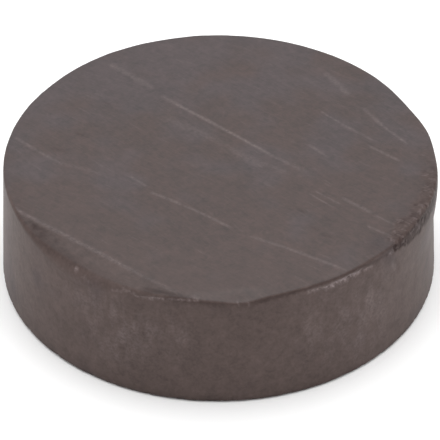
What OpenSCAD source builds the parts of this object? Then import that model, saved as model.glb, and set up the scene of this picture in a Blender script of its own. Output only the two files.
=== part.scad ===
// Ferrite disc magnet: one puck of ferrite powder, pressed in a die, fired, and ground on both pole faces.
// The lower pole face lies on z = 0, centred on the origin, and +Z is the pressing axis.

/* [Disc] */
// Diameter across the lower pole face, to the sharp corner
disc_d = 17.8; // [12:0.1:40]
// Height from the lower pole face to the upper one
thickness = 5.2; // [3:0.1:12]
// Angle by which the side leans inwards as it rises, left by the die
draft = 2; // [0:0.25:6]

/* [Worn edges] */
// Radius worn onto the lower rim
lower_edge_r = 0.16; // [0.05:0.01:0.4]
// Radius worn onto the upper rim
upper_edge_r = 0.12; // [0.05:0.01:0.4]

/* [Low facet] */
// How far in from the upper rim the grinding missed the pole face
facet_w = 1.34; // [0.4:0.02:3]
// Direction from the axis to the middle of the facet
facet_turn = 230.5; // [0:0.5:360]
// Angle by which the facet falls towards the rim
facet_fall = 6; // [2:0.5:15]

/* [Crumbled rim] */
// Width of the crumbled band on the upper pole face
crumble_w = 0.45; // [0.2:0.05:1]
// How far the band falls at the rim
crumble_drop = 0.1; // [0.04:0.01:0.4]
// Direction in which the band starts
crumble_turn = -36; // [-180:1:180]
// Angle that the band runs through
crumble_sweep = 41; // [5:1:180]
// Radius of the notch broken out where the band starts
notch_r = 0.3; // [0.1:0.02:0.6]

/* [Hidden] */
$fn = 128;
SLACK = 1;                      // how far a cutter runs on past the disc
CHIP_SIDES = 32;
ROUND_STEPS = 4;                // straight bands that make up each rounded rim
base_r = disc_d / 2;
top_r = base_r - thickness * tan(draft);
// Chips along the front of the upper rim: direction in degrees, radius in millimetres
RIM_CHIPS = [[-91, 0.12], [-83.5, 0.28], [-62, 0.16], [-59, 0.18], [-55, 0.18], [-51, 0.15], [-48, 0.12]];

// Points of a quarter round of radius r about [x, z], turning from one direction to another
function quarter(x, z, r, from, to) = [
    for (step = [0:ROUND_STEPS])
        let (turn = from + (to - from) * step / ROUND_STEPS)
            [x + r * cos(turn), z + r * sin(turn)]
];

// Half section: the side leans at the draft angle, and both corners are rounded tangent to it
module half_section() {
    low_r = base_r - lower_edge_r / tan(45 - draft / 2);
    high_r = top_r - upper_edge_r / tan(45 + draft / 2);
    polygon(concat(
        [[0, 0]],
        quarter(low_r, lower_edge_r, lower_edge_r, -90, draft),
        quarter(high_r, thickness - upper_edge_r, upper_edge_r, draft, 90),
        [[0, thickness]]
    ));
}

// Block above a plane that starts on a straight chord of the upper pole face and falls to the rim
module facet_cut() {
    rotate([0, 0, facet_turn])
        translate([top_r - facet_w, 0, thickness])
            rotate([0, facet_fall, 0])
                translate([0, -base_r, 0])
                    cube([facet_w + SLACK, 2 * base_r, SLACK]);
}

// Ring segment above the cone that the crumbled band falls on
module crumble_cut() {
    inner_r = top_r - crumble_w;
    outer_r = top_r + crumble_w;
    rotate([0, 0, crumble_turn])
        rotate_extrude(angle = crumble_sweep)
            polygon([
                [inner_r, thickness],
                [outer_r, thickness - 2 * crumble_drop],
                [outer_r, thickness + SLACK],
                [inner_r, thickness + SLACK]
            ]);
}

// Ball that bites out of the upper rim; its centre stands just outside the corner
module rim_bite(turn, r) {
    rotate([0, 0, turn])
        translate([top_r + r / 3, 0, thickness - r / 4])
            sphere(r, $fn = CHIP_SIDES);
}

module ferrite_disc() {
    color("#5a504e")
        difference() {
            rotate_extrude() half_section();
            facet_cut();
            crumble_cut();
            rim_bite(crumble_turn, notch_r);
            for (chip = RIM_CHIPS) rim_bite(chip[0], chip[1]);
        }
}

ferrite_disc();
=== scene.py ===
import math
from types import SimpleNamespace
import bpy
import numpy as np
from mathutils import Matrix, Vector


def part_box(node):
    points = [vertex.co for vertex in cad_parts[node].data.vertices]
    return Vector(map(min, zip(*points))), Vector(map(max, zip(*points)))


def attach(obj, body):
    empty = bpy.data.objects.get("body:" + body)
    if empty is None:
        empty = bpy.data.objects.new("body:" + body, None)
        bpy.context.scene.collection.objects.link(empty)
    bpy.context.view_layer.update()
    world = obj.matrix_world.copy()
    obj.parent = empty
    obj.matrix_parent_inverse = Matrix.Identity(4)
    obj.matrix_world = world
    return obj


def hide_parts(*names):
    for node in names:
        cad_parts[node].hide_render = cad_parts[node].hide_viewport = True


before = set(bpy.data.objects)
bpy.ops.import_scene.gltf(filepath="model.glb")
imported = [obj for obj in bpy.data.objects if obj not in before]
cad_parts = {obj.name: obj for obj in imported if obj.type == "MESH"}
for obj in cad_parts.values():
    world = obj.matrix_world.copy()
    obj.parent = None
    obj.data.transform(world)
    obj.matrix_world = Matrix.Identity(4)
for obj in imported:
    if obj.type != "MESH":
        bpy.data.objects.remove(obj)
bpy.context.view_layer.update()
mm = 0.001  # shapes are worked out in millimetres and stored in metres

# All that shapes the disc, in millimetres and degrees, with directions counted from +X
disc = {
    "draft": 2.0,  # lean of the side
    "upperWear": 0.12,  # radius worn onto the upper rim
    "lowerWear": 0.16,  # radius worn onto the lower rim
    "sink": 0.004,  # how far the upper face lies inside the solid's
    "grindTurn": -41.0,  # main direction of the grinding marks
    "grindDepth": 0.0022,  # mean depth of the marks
    "markStretch": 14,  # how much longer than wide the relief of the marks is
    "skinDepth": 0.006,  # mean depth of the relief that firing left
    "scratchDepth": 0.004,
    "cleftDepth": 0.03,
    "cleftReach": 0.5,  # how far below the upper face a cleft may still mark the corner
    "nibbleDepth": 0.03,  # of the small chips of the lower rim
    "coreRadius": 8.0,  # inside this, the upper face is a grid of rows along the marks
    "columns": 1280,  # points round the upper rim, halved as the detail gets coarser
    "cells": 58,  # cells along each row of the upper face
    "faceRings": 10,  # rings of the upper face outside the core
    "sideDepths": (0.04, 0.08, 0.13, 0.18, 0.24, 0.31, 0.39, 0.49),  # of the rings below the upper corner
    "sideGap": 0.13,  # from the last of them down to the coarser rings
    "sideRings": 31,
    "footRadii": (8.55, 8.35),  # outermost rings of the lower face
    # Rings of the rest of the lower face, each group with half as many points as the one before
    "innerRadii": (np.arange(8.1, 4.3, -0.25), np.arange(4.1, 2.0, -0.3), (1.7, 1.2, 0.6)),
    # Slow bulges and hollows of the side near its top: direction, width, height outwards
    "swells": [(-9.5, 16, 0.21), (27, 10, -0.06), (120, 12, 0.03), (13, 8, 0.07), (-36, 9, 0.05)],
    "swellDepths": (2.7, 0.4),  # below the upper face, where they start and where they are full
    # The segment that grinding missed: a nearly straight chord, where the old surface falls to the rim
    "facet": {
        "turn": 230.5,  # direction from the axis to the middle of the chord
        "reach": 7.45,  # distance of the chord from the axis
        "bend": 0.08,  # how far the chord turns in at its right end
        "fall": 0.09,  # slope next to the chord
        "curve": 0.03,  # how fast it gets steeper outwards
        "step": 0.012,  # low step at the chord
        "relief": 0.012,  # unevenness of the old surface
        "shoulder": 0.42,  # radius worn onto its rim
        "shoulderAt": -131.0,  # direction of the middle of that wear
        "highlightWidth": 0.09,  # half width of the painted highlight, a pale line on the chord
        "paleness": 0.14,
    },
    # The crumbled corner of the upper rim at the right
    "crumble": {
        "from": -37.5,  # direction in which it starts, at once
        "full": -14.0,  # where it starts to fade
        "to": 14.0,  # where it ends
        "wear": 0.07,  # radius worn onto its rim on top of the usual one
        "width": 0.62,  # on the upper face
        "pit": 0.014,  # depth of the holes that lost grains left
        "darkening": 0.24,  # how dark it is between the holes
        "paleness": 0.16,  # of its freshly broken grains
    },
    # The hole broken out of the rim where the crumbled corner starts, painted dark inside as shade, and a
    # dark stain on the face beside it
    "notch": {"x": 7.06, "y": -5.4, "radius": 0.18, "depth": 0.14},
    "stain": {"x": 6.25, "y": -5.45, "radius": 0.5, "darkness": 0.35},
    # The dark line of the front of the rim, painted shade, with its depth below the rim, and the faint line
    # of painted shade all round
    "rimLine": {"strength": 0.37, "depth": 0.07, "width": 0.12, "faint": 0.3, "faintWidth": 0.06},
    # How dark each place is made: painted shade on the worn shoulder and in the notch, a painted shadow over
    # the crumbled corner, and the facet, its left end and the lower rim darker
    "darkening": {"shoulder": 0.42, "facet": 0.1, "facetEnd": 0.45, "corner": 0.3, "lowRim": 0.6, "notch": 0.65},
    # Low places of the upper rim: direction, width, fall at the rim, how far in they start
    "dips": [(-83.5, 5.5, 0.17, 0.95), (-89.0, 10.0, 0.12, 0.8), (-59.0, 5.0, 0.07, 0.5)],
    # Pale broken edges below the upper rim: direction and depth of both ends, half width, paleness
    "fringes": [
        (-118.6, 0.42, -115.2, 0.24, 0.06, 0.35),
        (-116.0, 0.24, -113.6, 0.23, 0.065, 0.45),
        (-113.4, 0.25, -110.6, 0.35, 0.06, 0.3),
        (-110.4, 0.33, -107.4, 0.27, 0.07, 0.45),
        (-107.6, 0.25, -104.4, 0.19, 0.06, 0.45),
        (-103.2, 0.18, -99.4, 0.13, 0.055, 0.45),
        (-98.8, 0.12, -95.5, 0.1, 0.05, 0.3),
        (-131.3, 0.28, -130.5, 0.3, 0.045, 0.45),
        (-128.5, 0.36, -126.0, 0.47, 0.05, 0.18),
        (-85.0, 0.26, -84.8, 0.38, 0.04, 0.25),
        (-82.3, 0.26, -82.1, 0.38, 0.04, 0.2),
        (-69.5, 0.22, -69.4, 0.34, 0.04, 0.25),
        (-66.0, 0.26, -61.0, 0.32, 0.08, 0.5),
        (-61.2, 0.37, -58.6, 0.34, 0.11, 0.95),
        (-58.0, 0.29, -56.4, 0.30, 0.09, 0.75),
        (-56.2, 0.33, -54.4, 0.33, 0.11, 0.95),
        (-54.0, 0.26, -50.0, 0.30, 0.09, 0.65),
        (-50.0, 0.30, -46.0, 0.38, 0.07, 0.4),
        (-39.2, 0.34, -38.4, 0.36, 0.08, 0.4),
        (-37.6, 1.0, -36.0, 1.45, 0.1, 0.25),
    ],
    # Scuffed places on the side, paler than the rest: direction, height, width, half height, paleness
    "scuffs": [
        (-118.0, 2.6, 7.0, 1.2, 0.15),
        (-109.0, 3.4, 9.0, 1.1, 0.10),
        (-100.0, 3.0, 4.0, 1.2, 0.06),
        (-62.0, 3.0, 9.0, 1.5, 0.11),
        (-47.0, 2.6, 8.0, 1.6, 0.14),
        (-127.0, 3.8, 8.0, 0.6, 0.07),
    ],
    # Dark clefts on the upper face, painted shade in small grooves: start, end, half width, strength
    "clefts": [
        ((-3.1, -7.9), (-1.3, -8.5), 0.16, 0.6),
        ((-1.9, -8.38), (-0.9, -8.6), 0.12, 0.6),
        ((-7.45, -3.95), (-7.1, -4.35), 0.12, 0.5),
        ((-7.25, -4.5), (-6.5, -5.5), 0.2, 0.4),
        ((7.0, -5.35), (7.55, -5.4), 0.06, 0.75),
        ((7.05, -5.45), (7.32, -4.6), 0.07, 0.7),
        ((7.3, -4.7), (8.0, -3.3), 0.10, 0.3),
        ((7.9, -3.4), (8.45, -2.3), 0.10, 0.35),
        ((8.3, -2.6), (8.6, -0.6), 0.08, 0.3),
        ((-6.8, 0.95), (-6.15, 0.7), 0.17, 0.2),
        ((-5.8, 1.95), (-5.45, 1.7), 0.07, 0.35),
        ((-4.7, 4.05), (-4.4, 3.8), 0.07, 0.3),
        ((3.15, -3.1), (3.45, -3.35), 0.07, 0.35),
        ((3.6, -4.2), (3.95, -4.45), 0.07, 0.3),
        ((4.1, -4.7), (4.5, -4.95), 0.07, 0.3),
    ],
    # Scratches left by coarse grit: start, end, bow to the left of the line, half width, strength
    "scratches": [
        ((-4.6, 6.75), (-2.6, 4.87), 0.0, 0.24, 0.40),
        ((-2.4, 4.5), (-1.5, 3.7), 0.0, 0.17, 0.42),
        ((-2.1, 4.2), (2.45, 0.16), 0.03, 0.13, 0.92),
        ((2.2, 0.4), (3.4, -0.6), 0.0, 0.14, 0.36),
        ((-2.3, 3.05), (0.5, 1.0), 0.0, 0.36, 0.22),
        ((0.4, 0.95), (1.9, -0.45), 0.0, 0.36, 0.28),
        ((1.1, 0.3), (2.9, -0.75), 0.0, 0.16, 0.26),
        ((3.65, 1.15), (4.5, 0.2), 0.0, 0.12, 0.40),
        ((2.85, 0.0), (3.65, -0.75), 0.0, 0.14, 0.24),
        ((4.9, -2.35), (6.2, -3.42), 0.0, 0.15, 0.62),
        ((-8.4, 1.8), (-6.2, -0.22), -0.03, 0.13, 0.46),
        ((-6.6, 0.1), (-4.4, -0.9), 0.0, 0.17, 0.20),
        ((-3.6, -0.88), (-2.85, -1.62), 0.0, 0.12, 0.44),
        ((-2.8, -1.92), (-1.4, -2.82), 0.02, 0.13, 0.62),
        ((-1.5, -2.75), (0.6, -4.36), 0.04, 0.12, 0.60),
        ((1.05, -4.68), (5.15, -7.05), 0.06, 0.13, 0.52),
        ((4.2, 3.35), (5.05, 2.5), 0.0, 0.09, 0.60),
        ((5.0, 2.5), (6.35, 1.32), 0.03, 0.12, 0.48),
        ((6.05, 1.07), (7.4, -0.05), 0.0, 0.12, 0.60),
        ((5.9, 3.65), (6.85, 2.18), 0.0, 0.15, 0.46),
        ((6.75, 2.3), (7.75, 1.07), 0.0, 0.10, 0.62),
        ((4.4, 6.05), (5.5, 4.35), 0.0, 0.22, 0.40),
        ((3.6, -2.05), (4.65, -3.05), 0.0, 0.07, 0.48),
        ((3.85, -1.9), (4.95, -2.85), 0.0, 0.07, 0.46),
        ((5.85, -4.15), (7.05, -4.98), 0.0, 0.11, 0.50),
        ((6.2, -3.48), (7.1, -4.2), 0.0, 0.11, 0.46),
    ],
}
low, high = (np.array(corner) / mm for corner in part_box("ferrite_disc"))
disc["height"] = high[2] - low[2]
disc["lowRadius"] = (high[0] - low[0]) / 2
disc["topRadius"] = disc["lowRadius"] - disc["height"] * math.tan(math.radians(disc["draft"]))
facet, crumble, notch, stain, darkening = (disc[name] for name in ("facet", "crumble", "notch", "stain", "darkening"))


# Rises from 0 at start to 1 at end, level at both
def smooth(value, start, end):
    t = np.clip((value - start) / (end - start), 0, 1)
    return t * t * (3 - 2 * t)


# 1 at the centre, falling to about a third one width away
def bell(value, centre, width):
    return np.exp(-(((value - centre) / width) ** 2))


lattice = np.random.default_rng(7).uniform(-1, 1, (32, 32, 32))


# Value noise: random numbers on a lattice of that size in millimetres, blended smoothly between its corners
def grain(points, size, seed):
    place = points / size + 11.3 * seed
    corner = np.floor(place).astype(int)
    t = place - corner
    t = t * t * (3 - 2 * t)
    total = 0
    for step in np.ndindex(2, 2, 2):
        share = np.prod(np.where(step, t, 1 - t), axis=-1)
        x, y, z = ((corner + step) % len(lattice)).T
        total = total + share.T * lattice[x, y, z]
    return total.T


# Grain of one size, plus half as much of half the size, and so on
def roughGrain(points, size, seed, octaves=3):
    return sum(grain(points, size / 2**k, seed + k) / 2**k for k in range(octaves))


# Place along a scratch, from 0 to 1, and distance to its left, with the bow taken out
def alongScratch(x, y, start, end, bow):
    run = np.subtract(end, start)
    place = ((x - start[0]) * run[0] + (y - start[1]) * run[1]) / (run @ run)
    aside = ((y - start[1]) * run[0] - (x - start[0]) * run[1]) / math.hypot(*run)
    return place, aside - 4 * bow * place * (1 - place)


# How far the crumbled corner has developed in that direction: it starts at once and fades slowly
def crumbleShare(degrees):
    started = smooth(degrees, crumble["from"] - 1, crumble["from"] + 1)
    return started * smooth(-degrees, -crumble["to"], -crumble["full"])


# Distance beyond the facet's wavy chord, and place along it from its middle, positive to the right
def fromChord(x, y):
    turn = math.radians(facet["turn"])
    flat = np.stack([x, y, 0 * x], -1)
    along = y * math.cos(turn) - x * math.sin(turn)
    reach = facet["reach"] - facet["bend"] * smooth(along, 2.8, 4.5)
    beyond = x * math.cos(turn) + y * math.sin(turn) - reach
    return beyond - 0.02 * grain(flat, 0.5, 1) - 0.01 * grain(flat, 0.17, 2), along


# Height of the upper face: flat, less the facet's slope, the rim's low places and a groove for each scratch
def upperHeight(x, y):
    beyond, along = fromChord(x, y)
    out = np.maximum(beyond, 0)
    drop = facet["fall"] * out + facet["curve"] * out**2 + facet["step"] * smooth(beyond, 0, 0.08)
    drop = drop * (1 - 0.6 * smooth(along, 1.5, 3.5))
    relief = 1 + roughGrain(np.stack([x, y, 0 * x], -1), 0.5, 3)
    drop = drop + facet["relief"] * smooth(out, 0.1, 0.6) * relief
    radius = np.hypot(x, y)
    degrees = np.degrees(np.arctan2(y, x))
    for at, width, fall, reach in disc["dips"]:
        inwards = smooth(radius, disc["topRadius"] - reach, disc["topRadius"]) ** 2
        drop = drop + fall * bell(degrees, at, width) * inwards
    for start, end, bow, halfWidth, strength in disc["scratches"]:
        place, aside = alongScratch(x, y, start, end, bow)
        fade = np.clip(8 * place * (1 - place), 0, 1)
        drop = drop + disc["scratchDepth"] * strength * fade * bell(aside, 0, 0.8 * halfWidth)
    return disc["height"] - disc["sink"] - drop


# Radius of the side: a cone leaning at the draft angle, with a few slow bulges and hollows near its top
def sideRadius(degrees, z):
    swell = sum(height * bell(degrees, at, width) for at, width, height in disc["swells"])
    start, full = disc["swellDepths"]
    rise = smooth(z, disc["height"] - start, disc["height"] - full)
    return disc["lowRadius"] - z * math.tan(math.radians(disc["draft"])) + swell * rise


# Unit vectors out from the axis, and the same directions in degrees from -180 to 180
def outwards(turn):
    vectors = np.stack([np.cos(turn), np.sin(turn), 0 * turn], -1)
    return vectors, np.degrees(np.arctan2(np.sin(turn), np.cos(turn)))


up = np.array([0, 0, 1.0])


# Rings from the core of the upper face out to the rim, round its worn corner and down the side, with normals
def upperRings(turn):
    out, degrees = outwards(turn)
    wear = disc["upperWear"] * (1 + 0.25 * roughGrain(disc["topRadius"] * out, 1.6, 5))
    wear = wear + crumble["wear"] * crumbleShare(degrees)
    wear = wear + facet["shoulder"] * bell(degrees, facet["shoulderAt"], 17)
    edge = sideRadius(degrees, disc["height"] - wear) - wear
    points = []
    normals = []
    for share in np.linspace(0, 1, disc["faceRings"]):
        radius = disc["coreRadius"] + share * (edge - disc["coreRadius"])
        z = upperHeight(radius * out[:, 0], radius * out[:, 1])
        points.append(radius[:, None] * out + z[:, None] * up)
        normals.append(0 * out + up)
    for lean in np.radians([75, 60, 45, 30, 15, disc["draft"]]):
        height = z - wear * (1 - math.sin(lean))
        points.append((edge + wear * math.cos(lean))[:, None] * out + height[:, None] * up)
        normals.append(math.cos(lean) * out + math.sin(lean) * up)
    for depth in disc["sideDepths"]:
        below = height - depth
        points.append(sideRadius(degrees, below)[:, None] * out + below[:, None] * up)
        normals.append(out)
    return np.array(points), np.array(normals)


# Rings from a given height down the side, round the lower corner and onto the lower face, with normals
def lowerRings(turn, top):
    out, degrees = outwards(turn)
    wear = disc["lowerWear"]
    points = []
    normals = []
    for share in np.linspace(0, 1, disc["sideRings"]):
        height = top + share * (wear - top)
        points.append(sideRadius(degrees, height)[:, None] * out + height[:, None] * up)
        normals.append(out)
    edge = sideRadius(degrees, wear)[:, None] - wear
    for lean in np.radians([-18, -40, -65, -90]):
        points.append((edge + wear * math.cos(lean)) * out + wear * (1 + math.sin(lean)) * up)
        normals.append(math.cos(lean) * out + math.sin(lean) * up)
    for radius in disc["footRadii"]:
        points.append(radius * out)
        normals.append(0 * out - up)
    return np.array(points), np.array(normals)


# Inner points of the upper face: rows along the grinding marks, each a chord of the core circle
def coreRows(rowCount):
    lift = (np.arange(1, rowCount) * math.pi / rowCount - math.pi / 2)[:, None]
    share = np.linspace(-1, 1, disc["cells"] + 1)[None, 1:-1]
    along = disc["coreRadius"] * np.cos(lift) * share
    across = disc["coreRadius"] * np.sin(lift) + 0 * share
    turn = math.radians(disc["grindTurn"])
    x = along * math.cos(turn) - across * math.sin(turn)
    y = along * math.sin(turn) + across * math.cos(turn)
    points = np.stack([x, y, upperHeight(x, y)], -1)
    return points, 0 * points + up


# What is known of each point: its place and direction, which way it faces, how far past the rim it lies over
# the surface (negative on the face, positive down the side), its place at the facet, and two sizes of grain
def survey(points, normals):
    x, y, z = points[..., 0], points[..., 1], points[..., 2]
    degrees = np.degrees(np.arctan2(y, x))
    radius = np.hypot(x, y)
    rim = sideRadius(degrees, disc["height"] - disc["upperWear"])
    rimHeight = upperHeight(rim * np.cos(np.radians(degrees)), rim * np.sin(np.radians(degrees)))
    at = SimpleNamespace(points=points, x=x, y=y, z=z, radius=radius, degrees=degrees)
    at.beyond, at.along = fromChord(x, y)
    at.facing = normals[..., 2]
    at.onTop = at.facing > 0.9
    at.past = rimHeight - z + radius - rim
    at.inFacet = smooth(at.beyond, 0, 0.06) * at.onTop
    at.ragged = grain(points, 0.09, 11)
    at.uneven = roughGrain(points, 0.3, 15)
    return at


# Share of the crumbled band at each point, with a ragged border on the face and another down the side
def crumbledBand(at):
    inner = crumble["width"] * (0.8 + 0.35 * at.uneven)
    lower = 0.35 + 0.4 * smooth(at.degrees, -37, -27) + 0.12 * at.uneven
    onFace = smooth(at.past, -inner - 0.12, -inner + 0.05)
    return crumbleShare(at.degrees) * onFace * smooth(-at.past, -lower - 0.12, -lower)


# Relief of the grinding marks: grain drawn out along their direction
def grindingMarks(at):
    turn = math.radians(disc["grindTurn"])
    along = (at.x * math.cos(turn) + at.y * math.sin(turn)) / disc["markStretch"]
    across = at.y * math.cos(turn) - at.x * math.sin(turn)
    return roughGrain(np.stack([along, across, 0 * at.x], -1), 0.16, 6, 2)


# Adds the broken edges, which lie along short lines on the unrolled side and break up into flecks
def brokenEdges(at, bite, pale):
    below = disc["height"] - at.z
    arc = np.radians(at.degrees) * disc["topRadius"]
    flecked = 0.35 + 0.65 * smooth(grain(at.points, 0.07, 12), -0.3, 0.5)
    for first, depth, last, lastDepth, halfWidth, paleness in disc["fringes"]:
        run = np.array([math.radians(last - first) * disc["topRadius"], lastDepth - depth])
        across = arc - math.radians(first) * disc["topRadius"]
        place = np.clip((across * run[0] + (below - depth) * run[1]) / (run @ run), 0, 1)
        off = np.hypot(across - place * run[0], below - depth - place * run[1])
        edge = bell(off * (1 + 0.3 * at.ragged), 0, halfWidth) * (at.radius > 8.2)
        bite = bite + 0.4 * halfWidth * edge
        pale = np.maximum(pale, paleness * edge * flecked)
    return bite, pale


# The notch: a ragged round hole that runs a little way down the side
def notchHole(at):
    away = np.hypot(at.x - notch["x"], at.y - notch["y"]) * (1 + 0.35 * at.ragged)
    return smooth(-away, -notch["radius"], -0.3 * notch["radius"]) * smooth(-at.past, -0.45, -0.15)


# The facet's chord as a pale line, a painted highlight on its small step: even up to its middle, weaker to
# the right, and gone at its right end
def chordHighlight(at):
    strength = facet["paleness"] * (1 - 0.5 * smooth(at.along, 0.8, 2.4)) * smooth(-at.along, -4.5, -3.5)
    strength = strength * (1 + 0.3 * at.ragged)
    return strength * bell(at.beyond, 0.02, facet["highlightWidth"]) * at.onTop


# The scuffed places of the side, broken up by grain that is longer up the side than round it
def scuffedSide(at):
    flecked = 0.5 + roughGrain(at.points * (1, 1, 0.45), 0.28, 16)
    scuffed = 0.0
    for turn, height, width, tall, share in disc["scuffs"]:
        scuffed = scuffed + share * (bell(at.degrees, turn, width) * bell(at.z, height, tall)) * flecked
    return np.clip(scuffed, 0, 0.3) * (at.facing < 0.3)


# The dark clefts, painted shade in their small grooves: soft lines on the face that fade at both ends and
# just past the rim
def cleftLines(at):
    nearTop = at.z > disc["height"] - disc["cleftReach"]
    cleft = 0 * at.x
    for start, end, halfWidth, strength in disc["clefts"]:
        place, aside = alongScratch(at.x, at.y, start, end, 0)
        fade = smooth(place, -0.1, 0.2) * smooth(-place, -1.1, -0.8)
        cleft = np.maximum(cleft, strength * fade * bell(aside + 0.03 * at.ragged, 0, halfWidth) * nearTop)
    return cleft * smooth(-at.past, -0.3, -0.1)


# Painted shade: dark line of the front of the rim, where its small bevel faces the dark front, which wanders
# on both sides of it, and a faint fine one all round
def rimShadeLines(at):
    line = disc["rimLine"]
    front = smooth(at.degrees, -101, -94) * smooth(-at.degrees, 26, 42)
    front = front * (line["strength"] + 0.12 * bell(at.degrees, -62, 12) - 0.3 * bell(at.degrees, -86, 3.5))
    lineAt = line["depth"] - 0.13 * bell(at.degrees, -59, 6) + 0.35 * smooth(at.degrees, -56, -28)
    width = line["width"] + 0.02 * at.uneven + 0.05 * bell(at.degrees, -86, 9)
    sharp = front * bell(at.past + 0.06 * at.ragged, lineAt, width)
    faint = line["faint"] * bell(at.past + 0.04 * at.ragged, 0, line["faintWidth"])
    return np.maximum(sharp, faint * (1 - 0.7 * smooth(-at.degrees, 98, 106)))


# Soft dark bands: painted shade on the worn shoulder, the facet darker and most of all its left end, a
# painted shadow over the crumbled corner, and a stain
def softBands(at):
    inside = -0.22 - 0.2 * bell(at.degrees, -130, 14)
    rolledShade = darkening["shoulder"] * bell(at.degrees, -140, 24) * bell(at.past + 0.09 * at.uneven, inside, 0.42)
    leftEnd = darkening["facetEnd"] * bell(at.along, -2.9, 1.2) * smooth(at.beyond, 0.05, 0.3)
    sunken = (darkening["facet"] + 0.08 * at.uneven + leftEnd * (1 + 0.5 * at.uneven)) * at.inFacet
    shadow = darkening["corner"] * smooth(at.degrees, -50, -38) * smooth(-at.degrees, -14, 14)
    shadow = shadow * smooth(at.past, -1.3, -0.1) * (at.z > disc["height"] - 0.3)
    spot = bell(np.hypot(at.x - stain["x"], at.y - stain["y"]), 0, stain["radius"])
    return np.maximum.reduce([rolledShade, sunken, shadow, stain["darkness"] * spot * at.onTop])


# Moves points inwards by the relief of each surface, and says how ground, dark and pale each point is
def bitten(points, normals):
    at = survey(points, normals)
    band = crumbledBand(at)
    holes = np.clip(roughGrain(points, 0.14, 9) - 0.05, 0, 1)
    hole = notchHole(at)
    cleft = cleftLines(at)
    lowEdge = smooth(-at.z, -0.35, -0.05) * smooth(at.radius, 8.5, 8.75)
    nibbled = lowEdge * np.clip(roughGrain(points, 0.14, 14), 0, 1)

    ground = at.onTop * (1 - 0.25 * at.inFacet) * (1 - 0.7 * band)
    coarse = 0.004 * roughGrain(points * (1, 1, 0.6), 0.5, 7)
    skin = disc["skinDepth"] + coarse + 0.0025 * grain(points, 0.11, 8)
    bite = disc["grindDepth"] * ground * (1 + grindingMarks(at) / 1.5)
    bite = bite + np.where(np.abs(at.facing) < 0.9, 1, 0.8 * at.inFacet) * skin
    bite = bite + crumble["pit"] * band * holes
    pale = crumble["paleness"] * band * smooth(roughGrain(points, 0.12, 10), 0.2, 0.8)
    bite, pale = brokenEdges(at, bite, pale)
    bite = bite + notch["depth"] * hole
    bite = bite + disc["cleftDepth"] * cleft
    bite = bite + disc["nibbleDepth"] * nibbled

    # Pale: broken grains and edges, the scuffs, and the painted highlight on the chord
    pale = np.maximum.reduce([pale * (1 - hole), chordHighlight(at), scuffedSide(at)])
    # The crumbled band is darker between its holes, darker in the holes as painted shade, and darker down the
    # side
    crumbled = band * (crumble["darkening"] + 0.4 * holes + 0.45 * smooth(at.past, 0.05, 0.2))
    lowRim = darkening["lowRim"] * lowEdge * (0.4 + nibbled)
    # Dark: painted shade at the rim, on the shoulder, over the crumbled corner, in the clefts and the notch,
    # with the stain and the darker facet, crumbled band and lower rim
    dark = np.maximum.reduce([rimShadeLines(at), softBands(at), cleft, crumbled, darkening["notch"] * hole, lowRim])
    ground = np.where(at.facing < -0.9, 1, ground * (1 - hole))
    zones = {"ground": ground, "dark": np.clip(dark, 0, 1) * (1 - 0.8 * pale), "pale": pale}
    return points - normals * bite[..., None], zones


# Faces between two rings: quads, or three triangles to two columns where the lower ring has half as many
def bridge(upper, lower):
    following = np.roll(lower, -1)
    if len(upper) == len(lower):
        return [np.stack([upper, lower, following, np.roll(upper, -1)], -1)]
    even, odd, after = upper[::2], upper[1::2], np.roll(upper[::2], -1)
    threes = ((even, lower, odd), (odd, lower, following), (odd, following, after))
    return [np.stack(corners, -1) for corners in threes]


# Faces of the upper face inside the innermost ring: each row starts and ends on a point of that ring
def coreFaces(ring, core):
    count = len(ring)
    row = np.arange(count // 2 + 1)
    grid = np.zeros((len(row), disc["cells"] + 1), int)
    grid[:, 0] = ring[(3 * count // 4 - row) % count]
    grid[:, -1] = ring[(row - count // 4) % count]
    grid[0] = grid[0, 0]
    grid[-1] = grid[-1, 0]
    grid[1:-1, 1:-1] = core
    quads = np.stack([grid[:-1, :-1], grid[:-1, 1:], grid[1:, 1:], grid[1:, :-1]], -1)
    return [quads[1:-1].reshape(-1, 4), quads[0][:, [0, 2, 3]], quads[-1][:, [0, 1, 2]]]


# The whole disc as one closed skin: core rows, rings over the rim and down the side, and a coarser lower face
def discSkin():
    start = math.radians(disc["grindTurn"])
    counts = [disc["columns"] >> k for k in range(2 + len(disc["innerRadii"]))]
    angles = [start + np.arange(count) * 2 * math.pi / count for count in counts]
    blocks = [upperRings(angles[0])]
    blocks.append(lowerRings(angles[1], blocks[0][0][-1, ::2, 2] - disc["sideGap"]))
    for radii, turn in zip(disc["innerRadii"], angles[2:]):
        points = np.array(radii)[:, None, None] * outwards(turn)[0]
        blocks.append((points, 0 * points - up))
    blocks.append(coreRows(counts[0] // 2))
    blocks.append((np.zeros((1, 1, 3)), np.zeros((1, 1, 3)) - up))
    places = []
    zones = []
    numbers = []
    for points, normals in blocks:
        moved, kinds = bitten(points, normals)
        first = sum(len(part) for part in places)
        numbers.append(first + np.arange(points.shape[0] * points.shape[1]).reshape(points.shape[:2]))
        places.append(moved.reshape(-1, 3))
        zones.append(kinds)
    *around, core, centre = numbers
    rings = [ring for block in around for ring in block]
    faces = [face for pair in zip(rings, rings[1:]) for face in bridge(*pair)]
    faces.append(np.stack([rings[-1], 0 * rings[-1] + centre[0, 0], np.roll(rings[-1], -1)], -1))
    faces += coreFaces(rings[0], core)
    joined = {name: np.concatenate([kinds[name].reshape(-1) for kinds in zones]) for name in zones[0]}
    return np.concatenate(places), faces, joined


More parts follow.
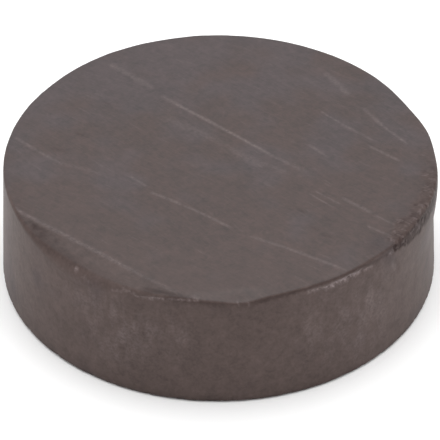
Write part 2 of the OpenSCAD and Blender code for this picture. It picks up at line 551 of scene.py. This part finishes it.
# A mesh object in metres from points in millimetres, with one number a point for each zone
def meshObject(name, points, faces, zones):
    mesh = bpy.data.meshes.new(name)
    mesh.from_pydata((points * mm).tolist(), [], [corners for group in faces for corners in group.tolist()])
    for zone, values in zones.items():
        mesh.attributes.new(zone, "FLOAT", "POINT").data.foreach_set("value", values.astype(np.float32))
    mesh.shade_smooth()
    made = bpy.data.objects.new(name, mesh)
    bpy.context.scene.collection.objects.link(made)
    return made


magnet = meshObject("ground_ferrite", *discSkin())
triangles = sum(len(face.vertices) - 2 for face in magnet.data.polygons)
print("disc meshed:", len(magnet.data.vertices), "points,", triangles, "triangles")


# An sRGB hex colour as linear numbers
def srgb(code):
    parts = [int(code[i : i + 2], 16) / 255 for i in (1, 3, 5)]
    return [c / 12.92 if c <= 0.04045 else ((c + 0.055) / 1.055) ** 2.4 for c in parts] + [1]


# Adds a node, fills or links its inputs, sets its settings, and gives one of its outputs. Inputs go by name
# or number: on MapRange 1 and 2 are the range taken in and 3 and 4 the range given out, on Mix 6 and 7 the
# colours.
def add(tree, kind, inputs, give=0, **settings):
    node = tree.nodes.new("ShaderNode" + kind)
    for name, value in settings.items():
        setattr(node, name, value)
    for name, value in inputs.items():
        if isinstance(value, bpy.types.NodeSocket):
            tree.links.new(value, node.inputs[name])
        else:
            node.inputs[name].default_value = value
    return node.outputs[give] if node.outputs else node


def emptyMaterial(name):
    made = bpy.data.materials.new(name)
    made.use_nodes = True
    made.node_tree.nodes.clear()
    return made, made.node_tree


# Sintered strontium ferrite, a dark brown-grey ceramic. The side and the facet keep the matte skin of the
# kiln, with soft mottling and pores. The pole faces are ground with coarse grit, which leaves fine lines that
# catch the light.
ferrite = {
    "ground": "#3a2b28",
    "fired": "#554946",
    "slate": "#3a3439",  # of cooler places, and of painted cool light towards the back
    "dark": "#2a1e1c",  # of painted shade at the rim, worn corners, clefts and the notch, and of the stain and other darker places
    "pale": "#958888",  # of broken edges and scuffs, and of the painted highlight on the facet's chord
    "scratch": "#716462",
    "ior": 1.5,
    "roughGround": 0.5,
    "roughFired": 0.45,
    "sheenGround": 0.5,  # share of the glossy reflection
    "sheenFired": 0.08,  # well under the usual 0.5, matched to the powdery skin of this disc
    "sheenLost": 0.6,  # share of the gloss that dark places lose
    # Cloudy patterns: size in mm, detail, roughness, distortion. The real grains are a few thousandths of a
    # millimetre across, so the speckle is drawn as coarse as it needs to show.
    "clouds": {
        "broad": (4.5, 2.0, 0.5, 0.0),
        "mottle": (0.7, 4.0, 0.6, 0.0),
        "blotch": (0.3, 2.0, 0.5, 0.8),
        "tint": (2.2, 1.0, 0.5, 0.0),
        "speckle": (0.11, 3.0, 0.6, 0.0),
    },
    "markSize": (0.42, 0.09),  # mm, length and width of the short grinding marks
    "streakSize": (1.0, 0.14),  # mm, of the few longer ones
    "streakShare": 0.2,  # strength of those
    "scratchPale": 0.5,  # share of their colour that the scratches show
    "coolest": 0.42,  # most of the slate colour that a place gets
    "paintedCoolLight": 0.022,  # how much more of it for each mm towards the back, as painted cool light
    # How strongly each pattern shades the whole disc, shades the ground faces alone, and raises the surface
    "shade": {"broad": 0.3, "mottle": 0.45, "blotch": 0.5, "speckle": 0.4},
    "groundShade": {"marks": 0.35, "bands": 0.35, "blotch": 0.25, "mottle": 0.1},
    "relief": {"speckle": 0.5, "mottle": 0.6, "grooves": 0.6},
    "reliefDepth": 0.012,  # mm
    "reliefStrength": 0.6,
}


# Strength along one scratch: its line is laid on X with its bow taken out, and it fades at both ends
def scratchMask(tree, place, start, end, bow, halfWidth, strength):
    run = np.subtract(end, start)
    laid = add(
        tree,
        "Mapping",
        {0: place, 1: (*start, 0), 2: (0, 0, math.atan2(run[1], run[0])), 3: (math.hypot(*run), 1, 1)},
        vector_type="TEXTURE",
    )
    x = add(tree, "SeparateXYZ", {0: laid})
    y = add(tree, "SeparateXYZ", {0: laid}, give=1)
    rest = add(tree, "Math", {0: 1.0, 1: x}, operation="SUBTRACT")
    inside = add(tree, "Math", {0: x, 1: rest}, operation="MULTIPLY")
    aside = add(tree, "Math", {0: inside, 1: -4 * bow, 2: y}, operation="MULTIPLY_ADD")
    away = add(tree, "Math", {0: aside}, operation="ABSOLUTE")
    falling = {0: away, 1: halfWidth, 2: 0.0, 3: 0.0, 4: strength}
    across = add(tree, "MapRange", falling, interpolation_type="SMOOTHSTEP")
    fade = add(tree, "MapRange", {0: inside, 2: 0.12}, interpolation_type="SMOOTHSTEP")
    return add(tree, "Math", {0: across, 1: fade}, operation="MULTIPLY")


def ferriteMaterial():
    made, tree = emptyMaterial("sintered_ferrite")
    local = add(tree, "TexCoord", {}, give=3)
    place = add(tree, "VectorMath", {0: local, "Scale": 1 / mm}, operation="SCALE")
    zones = ("ground", "dark", "pale")
    ground, dark, pale = (add(tree, "Attribute", {}, give=2, attribute_name=zone) for zone in zones)
    pattern = {}
    for name, (size, detail, roughness, distortion) in ferrite["clouds"].items():
        inputs = {"Vector": place, "Scale": 1 / size, "Detail": detail, "Roughness": roughness}
        pattern[name] = add(tree, "TexNoise", {**inputs, "Distortion": distortion})

    # The marks bend a little, because the stone and the disc both turned
    drift = add(tree, "TexNoise", {"Vector": place, "Scale": 0.2, "Detail": 1.0}, give=1)
    bent = add(tree, "VectorMath", {0: drift, 1: (1.4, 1.4, 0), 2: place}, operation="MULTIPLY_ADD")
    turned = add(tree, "Mapping", {0: bent, 2: (0, 0, -math.radians(disc["grindTurn"]))})
    drawn = [
        add(tree, "VectorMath", {0: turned, 1: (1 / length, 1 / width, 1)}, operation="MULTIPLY")
        for length, width in (ferrite["markSize"], ferrite["streakSize"])
    ]
    marks = {"Vector": drawn[0], "Detail": 2.0, "Distortion": 0.6}
    pattern["marks"] = add(tree, "TexNoise", {**marks, "Scale": 1.0})
    pattern["bands"] = add(tree, "TexNoise", {**marks, "Scale": 0.4})
    streaks = add(tree, "TexNoise", {"Vector": drawn[1], "Scale": 1.0, "Detail": 1.0})
    streaks = add(tree, "MapRange", {0: streaks, 1: 0.62, 2: 0.8}, interpolation_type="SMOOTHSTEP")

    mask = None
    for scratch in disc["scratches"]:
        one = scratchMask(tree, place, *scratch)
        mask = one if mask is None else add(tree, "Math", {0: mask, 1: one}, operation="MAXIMUM")
    mask = add(tree, "Math", {0: streaks, 1: ferrite["streakShare"], 2: mask}, operation="MULTIPLY_ADD")
    patchy = add(tree, "MapRange", {0: pattern["speckle"], 1: 0.35, 2: 0.6, 3: 0.45, 4: 1.0})
    mask = add(tree, "Math", {0: mask, 1: patchy}, operation="MULTIPLY")
    mask = add(tree, "Math", {0: mask, 1: ground}, operation="MULTIPLY")
    paler = add(tree, "Math", {0: mask, 1: ferrite["scratchPale"]}, operation="MULTIPLY")
    flecks = add(tree, "MapRange", {0: pattern["speckle"], 1: 0.4, 2: 0.56, 3: 0.45, 4: 1.0})
    fresh = add(tree, "Math", {0: pale, 1: flecks}, operation="MULTIPLY")
    # Share of the slate colour: random cool patches, plus more towards the back as painted cool light
    back = add(tree, "SeparateXYZ", {0: place}, give=1)
    drifting = {0: back, 1: ferrite["paintedCoolLight"], 2: pattern["tint"]}
    tintAndCoolLight = add(tree, "Math", drifting, operation="MULTIPLY_ADD")
    rising = {0: tintAndCoolLight, 1: 0.42, 2: 0.7, 4: ferrite["coolest"]}
    cooler = add(tree, "MapRange", rising, interpolation_type="SMOOTHSTEP")

    # Each colour is laid over the ones before it
    colour = srgb(ferrite["fired"])
    layers = {"ground": ground, "slate": cooler, "scratch": paler, "dark": dark, "pale": fresh}
    for name, share in layers.items():
        mixed = {0: share, 6: colour, 7: srgb(ferrite[name])}
        colour = add(tree, "Mix", mixed, give=2, data_type="RGBA")
    shade = 1.0
    for name, amount in ferrite["shade"].items():
        centred = add(tree, "Math", {0: pattern[name], 1: 0.5}, operation="SUBTRACT")
        shade = add(tree, "Math", {0: centred, 1: amount, 2: shade}, operation="MULTIPLY_ADD")
    for name, amount in ferrite["groundShade"].items():
        centred = add(tree, "Math", {0: pattern[name], 1: 0.5}, operation="SUBTRACT")
        onGround = add(tree, "Math", {0: centred, 1: ground}, operation="MULTIPLY")
        shade = add(tree, "Math", {0: onGround, 1: amount, 2: shade}, operation="MULTIPLY_ADD")
    colour = add(tree, "VectorMath", {0: colour, "Scale": shade}, operation="SCALE")

    pattern["grooves"] = add(tree, "Math", {0: pattern["marks"], 1: ground}, operation="MULTIPLY")
    height = 0.0
    for name, amount in ferrite["relief"].items():
        height = add(tree, "Math", {0: pattern[name], 1: amount, 2: height}, operation="MULTIPLY_ADD")
    bump = {"Height": height, "Strength": ferrite["reliefStrength"], "Distance": ferrite["reliefDepth"] * mm}
    normal = add(tree, "Bump", bump)
    rough = add(tree, "MapRange", {0: ground, 3: ferrite["roughFired"], 4: ferrite["roughGround"]})
    sheen = add(tree, "MapRange", {0: ground, 3: ferrite["sheenFired"], 4: ferrite["sheenGround"]})
    clean = add(tree, "Math", {0: dark, 1: -ferrite["sheenLost"], 2: 1.0}, operation="MULTIPLY_ADD")
    sheen = add(tree, "Math", {0: sheen, 1: clean}, operation="MULTIPLY")
    finish = {"Base Color": colour, "Roughness": rough, "IOR": ferrite["ior"], "Specular IOR Level": sheen}
    skin = add(tree, "BsdfPrincipled", {**finish, "Normal": normal})
    add(tree, "OutputMaterial", {"Surface": skin})
    return made


magnet.data.materials.append(ferriteMaterial())
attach(magnet, "root")
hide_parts("ferrite_disc")
print("ferrite finished")

# Light tent, in metres: a pale world, a soft panel above, a weak one at the right, and a black card in front
# that darkens what the side mirrors
studio = {
    "floorSize": 1.2,
    "floor": "#fafafa",
    "world": 1.08,  # brightness
    # Place, size and brightness
    "panels": [((0.0, 0.05, 0.45), (0.5, 0.5), 1.7), ((0.42, 0.05, 0.16), (0.4, 0.3), 0.3)],
    "card": ((0.0, -0.30, 0.10), (0.42, 0.22), "#050505"),  # place, size, colour
}


# A rectangle of mesh, facing a point if one is given
def flatPiece(name, place, size, colour, aim=None):
    corners = np.array([(-1, -1, 0), (1, -1, 0), (1, 1, 0), (-1, 1, 0)]) * (size[0] / 2, size[1] / 2, 0)
    mesh = bpy.data.meshes.new(name)
    mesh.from_pydata(corners.tolist(), [], [(0, 1, 2, 3)])
    made = bpy.data.objects.new(name, mesh)
    bpy.context.scene.collection.objects.link(made)
    made.location = place
    if aim is not None:
        made.rotation_euler = (Vector(aim) - Vector(place)).to_track_quat("Z", "Y").to_euler()
    paint, tree = emptyMaterial(name + "_paint")
    matte = {"Base Color": srgb(colour), "Roughness": 0.9, "Specular IOR Level": 0.0}
    skin = add(tree, "BsdfPrincipled", matte)
    add(tree, "OutputMaterial", {"Surface": skin})
    mesh.materials.append(paint)
    return made


flatPiece("floor", (0, 0, 0), (studio["floorSize"], studio["floorSize"]), studio["floor"])
card = flatPiece("black_card", *studio["card"], aim=(0, 0, 0))
card.visible_camera = False
world = bpy.data.worlds.new("tent")
world.use_nodes = True
world.node_tree.nodes["Background"].inputs["Color"].default_value = (1, 1, 1, 1)
world.node_tree.nodes["Background"].inputs["Strength"].default_value = studio["world"]
bpy.context.scene.world = world
for number, (place, size, brightness) in enumerate(studio["panels"]):
    lamp = bpy.data.lights.new("panel_%d" % number, "AREA")
    lamp.shape = "RECTANGLE"
    lamp.size, lamp.size_y = size
    lamp.energy = brightness * math.pi * size[0] * size[1]
    holder = bpy.data.objects.new(lamp.name, lamp)
    holder.location = place
    holder.rotation_euler = (-Vector(place)).to_track_quat("-Z", "Y").to_euler()
    bpy.context.scene.collection.objects.link(holder)

# Camera: a long lens looking down, with the disc a little left of and above the middle of the view
view = {
    "elevation": 38.85,  # degrees
    "distance": 174.5,  # mm
    "aim": 2.443,  # mm, height of the point it looks at
    "shift": (0.063, -0.2230),  # mm, of the camera to its right and up
    "roll": 0.30,  # degrees
    "lens": 348.8,  # mm
}
tilt = math.radians(view["elevation"])
right = Vector((1, 0, 0))
forward = Vector((0, math.cos(tilt), -math.sin(tilt)))
upward = right.cross(forward)
place = Vector((0, 0, view["aim"])) - view["distance"] * forward
place = place + view["shift"][0] * right + view["shift"][1] * upward
lens = bpy.data.cameras.new("camera")
lens.lens = view["lens"]
lens.sensor_width = 36
lens.clip_start = 0.01
camera = bpy.data.objects.new("camera", lens)
axes = Matrix((right, upward, -forward)).transposed().to_4x4()
roll = Matrix.Rotation(-math.radians(view["roll"]), 4, "Z")
camera.matrix_world = Matrix.Translation(place * mm) @ axes @ roll
bpy.context.scene.collection.objects.link(camera)
bpy.context.scene.camera = camera
bpy.context.scene.view_settings.view_transform = "Standard"
print("light tent and camera set")
